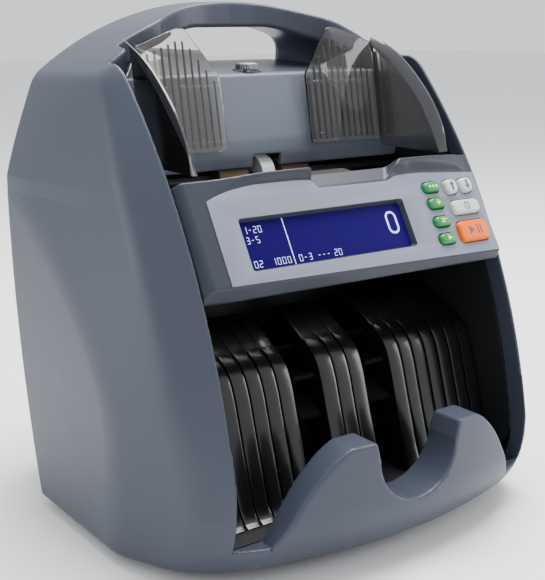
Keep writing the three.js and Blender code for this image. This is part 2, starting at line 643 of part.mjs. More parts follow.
// One long pin, carried by three lugs that stand on the rear panel.
function hingeRod() {
  const { y, z, radius } = DOOR_HINGE;
  const foot = DOOR_BOTTOM - 0.2;
  const side = [[y - 6, foot], [y + 2.2, foot], [y + 2.2, z + 1], [y, z + 2.6], [y - 6, z + 1]];
  const lugs = HINGE_LUGS.map((x) => prism('x', side, x - 2, x + 2));
  return join(rod(radius, -REAR_HALF + 0.4, REAR_HALF - 0.4, y, z, 12), ...lugs);
}

function powerInlet() {
  const { x, z } = INLET;
  const flange = box(x - 17, x + 17, 116.9, 119, z - 12.6, z + 12.6);
  const body = box(x - 14, x + 14, 98, 117.5, z - 10, z + 10);
  const mouth = [[-12, -7.5], [12, -7.5], [12, 5], [9, 8], [-9, 8], [-12, 5]].map(([a, b]) => [x + a, z + b]);
  const blade = (a, b) => box(x + a - 1, x + a + 1, 100, 113, z + b - 2, z + b + 2);
  const blades = [blade(-6, -1), blade(0, 3), blade(6, -1)];
  return join(cut(join(flange, body), prism('y', mouth, 102, 125)), ...blades);
}

function switchRocker() {
  const side = [[-3, 0], [1, -7.8], [5.6, -7.8], [3.4, 0], [6.6, 7.6], [1, 7.8]];
  return prism('x', side, -4.2, 4.2);
}

function motorPulley(motor, sign) {
  const [x0, x1] = [PULLEY_INNER, PULLEY_OUTER];
  const piece = join(
    rod(MOTOR_PULLEY_RADIUS, x0, x1, motor.y, motor.z),
    rod(MOTOR_SHAFT, 98.6, x0 + 1, motor.y, motor.z, 12),
  );
  return sign < 0 ? mirrored(piece) : piece;
}

function transformer() {
  const core = box(-30, 34, 36, 82, BASE_TOP + GAP, 50);
  return join(core, box(-20, 24, 30, 88, 10, 44));
}

// ---- assembly -----------------------------------------------------------------------------------
const machine = new THREE.Group();
machine.position.z = FOOT_DROP;

function add(name, geometry, look, parent = machine) {
  const mesh = new THREE.Mesh(geometry, look.clone());
  mesh.name = name;
  parent.add(mesh);
  return mesh;
}

const sides = [['left', mirrored], ['right', (geometry) => geometry]];

for (const [side, turn] of sides) {
  add(`side_cover_${side}`, turn(sideCover()), LOOKS.housing);
  add(`inner_frame_${side}`, turn(innerFrame()), LOOKS.dark);
  add(`guide_block_${side}`, turn(guideBlock(35, INSIDE_HALF)), LOOKS.black);
  add(`note_guide_${side}`, turn(noteGuide()), LOOKS.smoke);
  add(`fan_wheel_${side}`, turn(fanWheel(18, 32)), LOOKS.black);
  add(`feed_drum_${side}`, turn(wheelOn(FEED_AXIS, FEED_AXIS.radius, 12, 42, 32)), LOOKS.rubber);
  add(`gap_roller_${side}`, turn(wheelOn(COUNTER_AXIS, 9, 12, 32)), LOOKS.tan);
}

add('carry_handle', carryHandle(), LOOKS.housing);
add('top_deck', topDeck(), LOOKS.housing);
add('front_apron', frontApron(), LOOKS.housing);
add('base_plate', basePlate(), LOOKS.steel);
add('stacker_floor', stackerFloor(), LOOKS.dark);
add('guide_block_centre', guideBlock(-15, 15), LOOKS.black);
add('hopper_back_wall', hopperBackWall(), LOOKS.housing);
add('hopper_floor', hopperFloor(), LOOKS.dark);
add('note_guide_plate', noteGuidePlate(), LOOKS.dark);

const FOOT_PLACES = [['front_left', -88, -50], ['front_right', 88, -50], ['rear_left', -104, 40]];
FOOT_PLACES.push(['rear_right', 104, 40]);
for (const [place, x, y] of FOOT_PLACES) {
  const foot = new THREE.CylinderGeometry(8, 7.4, FOOT_DROP + 0.4, 20).rotateX(Math.PI / 2);
  add(`foot_${place}`, foot, LOOKS.rubber).position.set(x, y, (0.4 - FOOT_DROP) / 2);
}

const panel = new THREE.Group();
panel.position.set(0, PANEL.bottomY, PANEL.bottomZ);
panel.rotation.x = PANEL_TILT;
machine.add(panel);
add('panel_housing', panelHousing(), LOOKS.housing, panel);
add('panel_label', panelLabel(), LOOKS.label, panel);
add('display_window', displayWindow(), LOOKS.display, panel);
add('display_module', displayModule(), LOOKS.dark, panel);
add('key_board', keyBoard(), LOOKS.board, panel);
for (const key of KEYS) {
  const { geometry, centre } = keyCap(key);
  add(key.name, geometry, key.look, panel).position.copy(centre);
}

add('thumbscrew', thumbscrew(), LOOKS.steel).position.set(SCREW.x, SCREW.y, SCREW.z);

add('feed_shaft', shaftWithEnds(FEED_AXIS, -114, 104), LOOKS.steel);
add('feed_pulley', wheelOn(FEED_AXIS, FEED_PULLEY_RADIUS, -PULLEY_OUTER, -PULLEY_INNER), LOOKS.dark);
add('counter_shaft', shaftWithEnds(COUNTER_AXIS, -104, 104), LOOKS.steel);
add('counter_roller', wheelOn(COUNTER_AXIS, 12.5, -4.5, 4.5), LOOKS.white);
add('fan_shaft', shaftWithEnds(FAN_AXIS, -104, 114), LOOKS.steel);
add('fan_pulley', wheelOn(FAN_AXIS, FAN_PULLEY_RADIUS, PULLEY_INNER, PULLEY_OUTER), LOOKS.dark);

add('feed_motor', motorCan(FEED_MOTOR, -98, -40, -36), LOOKS.steel);
add('feed_motor_pulley', motorPulley(FEED_MOTOR, -1), LOOKS.steel);
const feedBelt = belt(FEED_AXIS, FEED_PULLEY_RADIUS, FEED_MOTOR, MOTOR_PULLEY_RADIUS);
add('feed_belt', mirrored(feedBelt), LOOKS.rubber);
add('stack_motor', motorCan(STACK_MOTOR, 52, 98, 48), LOOKS.steel);
add('stack_motor_pulley', motorPulley(STACK_MOTOR, 1), LOOKS.steel);
add('fan_belt', belt(FAN_AXIS, FAN_PULLEY_RADIUS, STACK_MOTOR, MOTOR_PULLEY_RADIUS), LOOKS.rubber);
add('transformer', transformer(), LOOKS.dark);
add('main_board', box(-85, 85, 72, 73.6, 100, 225), LOOKS.board);

add('rear_panel', rearPanel(), LOOKS.housing);
add('rear_door', rearDoor(), LOOKS.housing);
add('hinge_rod', hingeRod(), LOOKS.steel);
add('power_inlet', powerInlet(), LOOKS.dark);
add('switch_rocker', switchRocker(), LOOKS.dark).position.set(ROCKER.x, ROCKER.y, ROCKER.z);

export default machine;
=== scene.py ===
"""Looks of a banknote counting machine: moulded shells, ribbed stacker, panel, guides and back door."""

import math

import bmesh
import bpy
import numpy as np
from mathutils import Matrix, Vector


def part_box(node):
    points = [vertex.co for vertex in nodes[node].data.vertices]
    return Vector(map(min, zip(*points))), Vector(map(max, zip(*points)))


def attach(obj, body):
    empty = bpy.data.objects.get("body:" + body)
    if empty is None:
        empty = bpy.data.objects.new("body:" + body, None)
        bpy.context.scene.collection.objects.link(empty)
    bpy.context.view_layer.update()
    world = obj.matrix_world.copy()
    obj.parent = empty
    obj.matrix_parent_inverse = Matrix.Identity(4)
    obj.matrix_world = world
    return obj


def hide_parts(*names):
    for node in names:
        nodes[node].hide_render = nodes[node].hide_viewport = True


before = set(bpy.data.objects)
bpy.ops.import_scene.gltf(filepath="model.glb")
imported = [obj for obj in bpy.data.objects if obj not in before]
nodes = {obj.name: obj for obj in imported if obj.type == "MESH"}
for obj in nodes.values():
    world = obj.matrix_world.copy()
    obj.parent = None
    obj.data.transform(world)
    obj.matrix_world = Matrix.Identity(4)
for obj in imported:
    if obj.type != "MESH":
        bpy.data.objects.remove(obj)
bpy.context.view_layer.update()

# Shapes are worked out in millimetres above the housing's lower edge and scaled when a mesh is made.
MM = 0.001
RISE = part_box("side_cover_left")[0].z / MM


# ---- distance fields ------------------------------------------------------------------------------
def rounded(a, b, radius):
    """What two shapes share, with the edge between them rounded."""
    corner = np.hypot(np.maximum(a + radius, 0), np.maximum(b + radius, 0))
    return np.minimum(-radius, np.maximum(a, b)) + corner


def joined(a, b, radius):
    """Two shapes together, with the hollow between them filled to a radius."""
    return -rounded(-a, -b, radius)


def softened(a, b, width):
    """The larger of two distances, blended where they are nearly equal: for edges between flat angles."""
    near = np.maximum(width - np.abs(a - b), 0) / width
    return np.maximum(a, b) + near * near * width / 4


def step(value, low, high):
    t = np.clip((value - low) / (high - low), 0, 1)
    return t * t * (3 - 2 * t)


def curve(keys, values, at):
    """Smooth curve through the given points."""
    keys = np.asarray(keys, float)
    values = np.asarray(values, float)
    rates = np.diff(values) / np.diff(keys)
    before, after = rates[:-1], rates[1:]
    steady = before * after > 0
    inner = np.where(steady, 2 * before * after / np.where(steady, before + after, 1), 0)
    slopes = np.concatenate([rates[:1], inner, rates[-1:]])
    at = np.clip(at, keys[0], keys[-1])
    row = np.clip(np.searchsorted(keys, at, side="right") - 1, 0, len(keys) - 2)
    span = keys[row + 1] - keys[row]
    t = (at - keys[row]) / span
    ends = (2 * t ** 3 - 3 * t ** 2 + 1) * values[row] + (3 * t ** 2 - 2 * t ** 3) * values[row + 1]
    turn = (t ** 3 - 2 * t ** 2 + t) * slopes[row] + (t ** 3 - t ** 2) * slopes[row + 1]
    return ends + turn * span


def beside(x, y, ax, ay, bx, by):
    """Distance to the right of the line from a to b."""
    dx, dy = bx - ax, by - ay
    return ((x - ax) * dy - (y - ay) * dx) / np.hypot(dx, dy)


def box_field(x, y, z, low, high, radius):
    across = rounded(low[0] - x, x - high[0], 0)
    deep = rounded(low[1] - y, y - high[1], 0)
    tall = rounded(low[2] - z, z - high[2], 0)
    return rounded(rounded(across, deep, radius), tall, radius)


# ---- meshes ---------------------------------------------------------------------------------------
CORNERS = [(i, j, k) for i in (0, 1) for j in (0, 1) for k in (0, 1)]
EDGES = [(a, b) for a in range(8) for b in range(a + 1, 8)
         if sum(abs(p - q) for p, q in zip(CORNERS[a], CORNERS[b])) == 1]
COARSE = 4                       # a coarse grid first finds where the surface runs
REACH = 14                       # cells on either side of it that are then worked out finely
SETTLE_STEPS = 4                 # times that each corner is moved towards the surface
LEAST_SLOPE = 0.05
SLOPE_STEP = 0.05                # half the distance, in millimetres, over which a slope is taken


def gradient(field, points):
    parts = []
    for axis in range(3):
        shift = np.zeros(3)
        shift[axis] = SLOPE_STEP
        ahead = field(*(points + shift).T)
        behind = field(*(points - shift).T)
        parts.append((ahead - behind) / (2 * SLOPE_STEP))
    return np.stack(parts, 1)


def skin(field, low, high, cell):
    """Quads over the surface where a field is zero, with each corner moved onto the surface."""
    axes = [np.arange(a, b + cell, cell) for a, b in zip(low, high)]
    coarse = field(*np.meshgrid(*(axis[::COARSE] for axis in axes), indexing="ij"))
    values = coarse
    for i in range(3):
        values = np.repeat(values, COARSE, axis=i)
    values = values[tuple(slice(0, len(axis)) for axis in axes)].copy()
    near = np.argwhere(np.abs(values) < REACH * cell)
    spots = [axis[near[:, i]] for i, axis in enumerate(axes)]
    values[tuple(near.T)] = field(*spots)
    inside = values < 0
    count = np.zeros([n - 1 for n in inside.shape], np.int8)
    for i, j, k in CORNERS:
        count += inside[i:i + count.shape[0], j:j + count.shape[1], k:k + count.shape[2]]
    cells = np.argwhere((count > 0) & (count < 8))
    number = np.full(count.shape, -1, np.int64)
    number[tuple(cells.T)] = np.arange(len(cells))
    corner = np.stack([values[tuple((cells + c).T)] for c in np.array(CORNERS)], 1)
    total = np.zeros((len(cells), 3))
    crossings = np.zeros(len(cells))
    for a, b in EDGES:
        va, vb = corner[:, a], corner[:, b]
        crossed = (va < 0) != (vb < 0)
        t = np.where(crossed, va / np.where(crossed, va - vb, 1), 0)
        at = np.array(CORNERS[a]) + t[:, None] * (np.array(CORNERS[b]) - np.array(CORNERS[a]))
        total += at * crossed[:, None]
        crossings += crossed
    points = np.array(low) + (cells + total / crossings[:, None]) * cell
    for _ in range(SETTLE_STEPS):
        slope = gradient(field, points)
        size = np.maximum((slope ** 2).sum(1), LEAST_SLOPE)
        move = slope * (field(*points.T) / size)[:, None]
        points -= np.clip(move, -cell / 2, cell / 2)
    faces = []
    for axis in range(3):
        u, v = [(1, 2), (2, 0), (0, 1)][axis]
        here = [slice(None)] * 3
        there = [slice(None)] * 3
        here[axis], there[axis] = slice(0, -1), slice(1, None)
        change = inside[tuple(here)] != inside[tuple(there)]
        starts = np.argwhere(change)
        top = [n - 1 for n in count.shape]
        clear = (starts[:, u] > 0) & (starts[:, v] > 0) & (starts[:, u] <= top[u]) & (starts[:, v] <= top[v])
        starts = starts[clear]
        ring = []
        for du, dv in [(1, 1), (0, 1), (0, 0), (1, 0)]:
            cell_at = starts.copy()
            cell_at[:, u] -= du
            cell_at[:, v] -= dv
            ring.append(number[tuple(cell_at.T)])
        ring = np.stack(ring, 1)
        out = inside[tuple(starts.T)]
        ring[~out] = ring[~out][:, ::-1]
        faces.append(ring)
    return points, np.concatenate(faces)


def to_mesh(name, points, faces, normals=None):
    """A mesh in metres in the shared frame, from millimetres in the housing's frame."""
    mesh = bpy.data.meshes.new(name)
    placed = (np.asarray(points, float) + [0, 0, RISE]) * MM
    mesh.from_pydata(placed.tolist(), [], faces.tolist() if isinstance(faces, np.ndarray) else faces)
    mesh.validate()
    for polygon in mesh.polygons:
        polygon.use_smooth = True
    if normals is not None:
        mesh.normals_split_custom_set_from_vertices(normals.tolist())
    return mesh


def add(name, mesh, material, slot, replaces=(), body="housing"):
    piece = bpy.data.objects.new(name, mesh)
    bpy.context.scene.collection.objects.link(piece)
    if material is not None:
        piece.data.materials.append(material)
    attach(piece, body)
    if replaces:
        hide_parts(*replaces)
    return piece


UPRIGHT = ((1, 0, 0), (0, 1, 0), (0, 0, 1))


def moulded(name, field, low, high, cell, material, slot, replaces=(), body="housing", mirror=False,
            origin=(0, 0, 0), axes=UPRIGHT):
    """A moulded piece from its field; a mirrored one is worked out on the right and copied to the left."""
    if mirror:
        low = (-cell / 2, low[1], low[2])
    points, faces = skin(field, low, high, cell)
    normals = gradient(field, points)
    normals /= np.maximum(np.linalg.norm(normals, axis=1), 1e-6)[:, None]
    if mirror:
        flip = np.array([-1, 1, 1])
        middle = np.abs(points[:, 0]) < cell / 4
        points[middle, 0] = 0
        normals[middle, 0] = 0
        left = np.where(middle, np.arange(len(points)), len(points) + np.cumsum(~middle) - 1)
        points = np.concatenate([points, points[~middle] * flip])
        normals = np.concatenate([normals, normals[~middle] * flip])
        faces = np.concatenate([faces, left[faces][:, ::-1]])
    turn = np.asarray(axes, float)
    mesh = to_mesh(name, origin + points @ turn, faces, normals @ turn)
    return add(name, mesh, material, slot, replaces, body)


WELD_DISTANCE = 0.00001


def tidied(mesh, sharp):
    """Joins loose corners, faces all polygons outwards and keeps edges over an angle crisp."""
    shape = bmesh.new()
    shape.from_mesh(mesh)
    bmesh.ops.remove_doubles(shape, verts=shape.verts, dist=WELD_DISTANCE)
    bmesh.ops.recalc_face_normals(shape, faces=shape.faces)
    shape.to_mesh(mesh)
    shape.free()
    for polygon in mesh.polygons:
        polygon.use_smooth = True
    mesh.set_sharp_from_angle(angle=math.radians(sharp))
    return mesh


def sheet(name, outlines, low, high, bevel, material, slot, origin=(0, 0, 0), axes=UPRIGHT, replaces=(),
          body="housing", sharp=40):
    """A flat piece cut to closed outlines, holes included, with a small round along its edges."""
    data = bpy.data.curves.new(name, "CURVE")
    data.dimensions = "2D"
    data.fill_mode = "BOTH"
    data.extrude = (high - low) / 2 - bevel
    data.bevel_depth = bevel
    data.bevel_resolution = 2
    data.offset = -bevel
    for outline in outlines:
        spline = data.splines.new("POLY")
        spline.points.add(len(outline) - 1)
        spline.points.foreach_set("co", [c for a, b in outline for c in (a, b, 0, 1)])
        spline.use_cyclic_u = True
    shaper = bpy.data.objects.new(name, data)
    flat = bpy.data.meshes.new_from_object(shaper)
    points = np.array([v.co for v in flat.vertices]) + [0, 0, (low + high) / 2]
    faces = [tuple(polygon.vertices) for polygon in flat.polygons]
    bpy.data.objects.remove(shaper)
    bpy.data.meshes.remove(flat)
    bpy.data.curves.remove(data)
    mesh = to_mesh(name, origin + points @ np.asarray(axes, float), faces)
    return add(name, tidied(mesh, sharp), material, slot, replaces, body)


def loft(name, rings, material, slot, replaces=(), body="housing", sharp=40):
    """A skin through a row of closed rings, capped at both ends."""
    rings = np.asarray(rings, float)
    count, size = rings.shape[:2]
    index = np.arange(count * size).reshape(count, size)
    after = np.roll(index, -1, axis=1)
    faces = np.stack([index[:-1], after[:-1], after[1:], index[1:]], -1).reshape(-1, 4).tolist()
    faces += [index[0][::-1].tolist(), index[-1].tolist()]
    mesh = to_mesh(name, rings.reshape(-1, 3), faces)
    return add(name, tidied(mesh, sharp), material, slot, replaces, body)


# ---- materials ------------------------------------------------------------------------------------
def material(name, color, roughness=0.4, metallic=0.0, grain=0.0, grain_size=0.0006, mottle=0.04, coat=0.0,
             transmission=0.0, painted_edge_highlight=0.0, brushed=False, specular=0.5, glow=0.0):
    """A procedural finish: slight mottling, moulded grain as bump, uneven gloss and convex edges lightened as a
    painted highlight.
    """
    made = bpy.data.materials.new(name)
    made.use_nodes = True
    tree = made.node_tree
    links = tree.links
    shader = tree.nodes["Principled BSDF"]
    place = tree.nodes.new("ShaderNodeTexCoord")
    source = place.outputs["Object"]
    if brushed:
        stretch = tree.nodes.new("ShaderNodeMapping")
        stretch.inputs["Scale"].default_value = (0.03, 1, 1)
        links.new(source, stretch.inputs["Vector"])
        source = stretch.outputs["Vector"]

    def noise(scale, detail=3.0):
        node = tree.nodes.new("ShaderNodeTexNoise")
        node.inputs["Scale"].default_value = scale
        node.inputs["Detail"].default_value = detail
        links.new(source, node.inputs["Vector"])
        return node.outputs["Fac"]

    def ramp(value, low, high):
        node = tree.nodes.new("ShaderNodeMapRange")
        node.inputs["To Min"].default_value = low
        node.inputs["To Max"].default_value = high
        links.new(value, node.inputs["Value"])
        return node.outputs["Result"]

    tint = tree.nodes.new("ShaderNodeHueSaturation")
    tint.inputs["Color"].default_value = (*color, 1)
    links.new(ramp(noise(28.0), 1 - mottle, 1 + mottle), tint.inputs["Value"])
    base = tint.outputs["Color"]
    # Convex edges, found by pointiness, are mixed towards a lighter colour: a painted edge highlight.
    if painted_edge_highlight > 0:
        geometry = tree.nodes.new("ShaderNodeNewGeometry")
        edge = tree.nodes.new("ShaderNodeMapRange")
        edge.inputs["From Min"].default_value = 0.53
        edge.inputs["From Max"].default_value = 0.62
        edge.inputs["To Max"].default_value = painted_edge_highlight
        links.new(geometry.outputs["Pointiness"], edge.inputs["Value"])
        mix = tree.nodes.new("ShaderNodeMix")
        mix.data_type = "RGBA"
        highlight_color = [min(1.0, c * 1.5 + 0.03) for c in color]
        mix.inputs[7].default_value = (*highlight_color, 1)
        links.new(edge.outputs["Result"], mix.inputs[0])
        links.new(base, mix.inputs[6])
        base = mix.outputs[2]
    links.new(base, shader.inputs["Base Color"])
    links.new(ramp(noise(90.0), roughness * 0.88, min(1.0, roughness * 1.12)), shader.inputs["Roughness"])
    shader.inputs["Metallic"].default_value = metallic
    shader.inputs["Coat Weight"].default_value = coat
    shader.inputs["Coat Roughness"].default_value = 0.12
    shader.inputs["Transmission Weight"].default_value = transmission
    shader.inputs["Specular IOR Level"].default_value = specular
    if glow > 0:
        shader.inputs["Emission Color"].default_value = (*color, 1)
        shader.inputs["Emission Strength"].default_value = glow
    if transmission > 0:
        shader.inputs["IOR"].default_value = 1.49
    if grain > 0:
        bump = tree.nodes.new("ShaderNodeBump")
        bump.inputs["Strength"].default_value = grain
        bump.inputs["Distance"].default_value = grain_size * 0.12
        links.new(noise(1.0 / grain_size, 2.0), bump.inputs["Height"])
        links.new(bump.outputs["Normal"], shader.inputs["Normal"])
    return made


def linear(red, green, blue):
    """Linear colour from the usual 0 to 255 values."""
    return tuple(((v / 255 + 0.055) / 1.055) ** 2.4 for v in (red, green, blue))


# The painted edge highlight on these materials lightens their convex edges.
HOUSING = material("housing", linear(55, 60, 72), 0.38, grain=0.5, painted_edge_highlight=0.25, specular=0.28)
# The panel is moulded in the housing's plastic; this darker copy of the housing colour is painted shade for its face,
# which faces the overhead lamp.
PANEL_SHADED_HOUSING = material("panel", linear(42, 46, 55), 0.36, grain=0.45, painted_edge_highlight=0.3, specular=0.25)
LABEL = material("label", linear(112, 116, 130), 0.38, grain=0.25, grain_size=0.0004, specular=0.3)
BLACK = material("gloss_black", linear(15, 16, 18), 0.24, grain=0.12, coat=0.2, painted_edge_highlight=0.1, specular=0.42)
DARK = material("dark_plastic", linear(22, 24, 28), 0.5, grain=0.6, painted_edge_highlight=0.2)
RUBBER = material("rubber", linear(18, 18, 19), 0.8, grain=0.7)
HOPPER = material("hopper", linear(92, 99, 110), 0.4, grain=0.4, specular=0.3)
VANE = material("vane", linear(5, 5, 6), 0.8, grain=0.4, specular=0.1)
TAN = material("tan_rubber", linear(80, 55, 34), 0.65, grain=0.5)
WHITE = material("white_plastic", linear(186, 187, 186), 0.4, grain=0.2)
ORANGE = material("orange_plastic", linear(230, 100, 0), 0.4, grain=0.2, specular=0.2)
GREEN = material("green_plastic", linear(22, 120, 58), 0.35, grain=0.2)
STEEL = material("steel", linear(190, 192, 195), 0.25, metallic=1.0, grain=0.4, grain_size=0.0003,
                 brushed=True)
KNOB = material("knob", linear(128, 130, 134), 0.32, metallic=1.0, grain=0.3, grain_size=0.0003)
FRAME = material("frame_metal", linear(22, 23, 26), 0.5, grain=0.3)
BOARD = material("board", linear(16, 52, 30), 0.5, grain=0.2)
DISPLAY = material("display", linear(21, 0, 76), 0.5, specular=0.03)
GLYPH = material("glyph", linear(190, 196, 250), 0.4, glow=0.6)
SMOKE = material("smoke", linear(246, 241, 234), 0.02, transmission=1.0, mottle=0.01)
SMOKE_DARK = material("smoke_dark", linear(26, 24, 23), 0.16, transmission=0.4, mottle=0.02, specular=0.25)
# Dark sheets behind the guide plates, where their slots are, stand for the shade seen through the openings: painted
# shade.
SLOT_SHADE = material("slot_painted_shade", linear(30, 26, 24), 0.5)
# The wing's outer band is the same smoked plastic as the wing; this lighter copy is a painted highlight along it.
SMOKE_BAND_HIGHLIGHT = material("smoke_band_painted_highlight", linear(72, 72, 77), 0.2, transmission=0.35, mottle=0.02, coat=0.12, specular=0.4)
INK = material("ink", linear(70, 72, 78), 0.5)
PALE_INK = material("pale_ink", linear(214, 232, 150), 0.5)

# ---- housing curves -------------------------------------------------------------------------------
TOE_RADIUS = 39
POCKET_HALF = 101
ARCH_RADIUS = 180
ARCH_CENTRE = 106
HANDLE_FOOT = 245.3
WALL = 3


def toe(z):
    depth = TOE_RADIUS - np.clip(z, 1, TOE_RADIUS)
    return TOE_RADIUS - np.sqrt(TOE_RADIUS ** 2 - depth ** 2)


def bezel_front(z):
    height = np.clip(z, TOE_RADIUS, 262)
    return 258 - np.sqrt(369 ** 2 - (height + 7) ** 2) + toe(z)


def bezel_edge(z):
    height = np.clip(z, TOE_RADIUS, 262)
    x = curve([0, 39, 97, 148, 190, 222, 250, 262], [118, 116, 120, 121, 119.5, 115.5, 111, 109], z)
    return x, -100.3 + 0.19 * height + 0.0009 * height ** 2 + toe(z)


def rear_edge(z):
    low = 84 - 27 * (np.maximum(181 - z, 0) / 181) ** 2
    return low - 0.05 * np.maximum(z - 181, 0)


def half_width(z):
    return 132 - 17 * (np.maximum(z - 190, 0) / 54) ** 1.15


def crease(z):
    rise = np.maximum(z - 67, 0) / 116
    y = -35 + 106 * rise ** 1.75
    _, edge_y = bezel_edge(z)
    return half_width(z), np.minimum(y, rear_edge(z) - 0.12 * (rear_edge(z) - edge_y))


def arch_front(x):
    return curve([0, 15, 30, 39, 50, 60, 70, 87, 91, 101, 140],
                 [50, 49.3, 46.5, 43.5, 37, 30, 28, 27.5, 12, 10.5, 10], np.abs(x))


def closed_form(x, y, z):
    """The outer form of the housing between its lower edge and its back."""
    x = np.abs(x)
    edge_x, edge_y = bezel_edge(z)
    fold_x, fold_y = crease(z)
    band = beside(x, y, POCKET_HALF, bezel_front(z), edge_x, edge_y)
    flank = beside(x, y, edge_x, edge_y, fold_x, fold_y)
    side = softened(softened(band, flank, 4), x - half_width(z), 2.5)
    arch = np.hypot(x, z - ARCH_CENTRE) - ARCH_RADIUS
    return softened(side, arch, 3 + 2.5 * step(-y, -22, 4))


INSIDE_HALF = 100.6
LIP_TOP = 70
POCKET_FLOOR = 22.5
LIP_FLAT = 42.8
LIP_FOOT = 83.3
FINGER_RADIUS = 26
FINGER_HEIGHT = 60


def apron_front(x, y, z):
    return (x ** 2 / 570 - 125.5 + toe(z) - y) * 0.95


def lip_height(x):
    """Top of the lip seen from the front: flat, then down a hollow slope to the pocket's floor."""
    return curve([LIP_FLAT, 46, 50, 55, 61, 67, 72, 77, 81, LIP_FOOT],
                 [LIP_TOP, 68.6, 66.2, 62.4, 56.6, 49, 41.3, 33, 26.3, POCKET_FLOOR], np.abs(x))


def apron_kept(x, y, z):
    """Where the front apron is, inside the outer form."""
    x = np.abs(x)
    slope = np.where((x > LIP_FLAT) & (x < LIP_FOOT), 0.75 - 0.32 * step(x, 43, 80), 1.0)
    top = np.where(x < LIP_FOOT, lip_height(x), POCKET_FLOOR)
    over = np.where(x < LIP_FOOT, (z - top) * slope, z - top)
    flare = x - FINGER_RADIUS - 0.25 * (z - FINGER_HEIGHT)
    finger = np.where(z > FINGER_HEIGHT, flare, np.hypot(x, z - FINGER_HEIGHT) - FINGER_RADIUS)
    hill = rounded(over, -finger, 0.8)
    lip_back = y + 99 + 6 * (z - POCKET_FLOOR) / 57.5
    behind = rounded(-lip_back, POCKET_FLOOR - z, 1.5)
    ledge = np.maximum(-97.3 - y, 19.2 - z)
    block = rounded(rounded(hill, -behind, 0.8), -ledge, 0.5)
    return np.maximum(block, y + 66)


def hood_field(x, y, z):
    """Side covers, carrying handle and front apron, in one smooth shell."""
    walls = closed_form(x, y, z)
    form = softened(walls, apron_front(x, y, z), 9 * step(60 - z, 0, 30) + 0.5)
    form = rounded(rounded(form, y - rear_edge(z), 2), 1.5 - z, 4)
    beyond = POCKET_HALF - np.abs(x)
    behind = (arch_front(x) - y) * 0.8
    kept = np.minimum(beyond, rounded(HANDLE_FOOT - z, behind, 1))
    kept = np.minimum(kept, apron_kept(x, y, z))
    slope_round = 1.2 + 2.2 * step(np.abs(x), 45, 70) * step(95 - np.abs(x), 0, 8)
    shell = rounded(form, kept, np.where(z > 75, 2.0, np.minimum(2.0, slope_round)))
    half = 51 + (80 - np.maximum(y, 22)) * 0.62
    ends = (np.abs(x) - half) * 0.85
    under = z - 271 + 0.36 * softened(np.abs(x) - 31, 0, 10)
    hole = rounded(rounded(ends, under, 7), 238 - z, 0)
    shell = rounded(shell, -hole, 2.5 + 3 * step(y, 55, 78))
    past_wall = POCKET_HALF + WALL - np.abs(x)
    past_flange = bezel_front(z) + 14 - y
    thick = 8 - 4.4 * step(y, 30, 62) * step(235 - z, 0, 30)
    hollow = rounded(walls + thick, np.minimum(past_wall, past_flange), 1)
    hollow = np.maximum(hollow, z - 240)
    return rounded(shell, -hollow, 0.6)


moulded("housing_hood", hood_field, (-3, -128, -3), (137, 90, 292), 1.5, HOUSING, "housing",
        ("side_cover_left", "side_cover_right", "carry_handle", "front_apron"), mirror=True)

# ---- control panel, in its own frame: x across, y up the slope, z outwards --------------------------
PANEL_ORIGIN = np.array((0, -81.3, 145.2))
PANEL_AXES = np.array(((1, 0, 0), (0, 0.5114, 0.8593), (0, -0.8593, 0.5114)))
PANEL_HALF = 100.3
SCREEN = (-15.5, 25.5, 55, 14.2)        # centre and half sizes of the display's recess
SCREEN_CORNER = 1.6
SCREEN_DEPTH = 2.6
PRINT_DEPTH = (-SCREEN_DEPTH - 0.02, -SCREEN_DEPTH + 0.06)
PRINT_EDGE = 0.02
KEYS = {
    "key_green_1": (62.8, 43.7, 12.4, 6.4, 3.0), "key_green_2": (62.7, 33.8, 12.4, 6.4, 3.0),
    "key_green_3": (62.4, 22.8, 12.4, 6.4, 3.0), "key_green_4": (62.1, 12.4, 12.4, 6.4, 3.0),
    "key_up": (77.4, 42.6, 9.6, 9.0, 3.2), "key_down": (89.1, 42.6, 9.6, 9.0, 3.2),
    "key_set": (83.3, 29.6, 21.4, 8.8, 3.0), "key_start": (83.1, 14.9, 22.4, 12.6, 3.2),
}
KEY_PROUD = 3.2


def label_top(u):
    return curve([-86, -79, -67.5, -52, -33, -19, -16.5, -14, 32, 41.8, 54, 69, 85, 95, 100],
                 [50.5, 53.1, 55.7, 57.2, 57.2, 56.5, 54.0, 51.6, 51.2, 53.7, 53.9, 53.0, 51.8, 51.0, 50.6], u)


def label_bottom(u):
    return 3.7 - 0.02 * u


def ridge_foot(u):
    return curve([-100, -80, -69.9, -57.2, -38.9, -18.7, 20, 47, 52, 64.7, 85.1, 95.2, 101],
                 [53, 54, 57.7, 60.8, 61.2, 60.3, 60, 59.2, 60.3, 59.6, 56.8, 52.0, 51], u)


def ridge_rise(u):
    return curve([-101, -82, -69, -57, -45, -17, 15, 43, 60, 75, 87, 97, 101],
                 [0, 0, 0.8, 2.0, 2.9, 3.1, 3.1, 3.1, 3.0, 2.4, 1.5, 0, 0], u)


def rounded_box(u, v, centre_u, centre_v, half_u, half_v, radius):
    du = np.abs(u - centre_u) - half_u + radius
    dv = np.abs(v - centre_v) - half_v + radius
    return np.hypot(np.maximum(du, 0), np.maximum(dv, 0)) + np.minimum(np.maximum(du, dv), 0) - radius


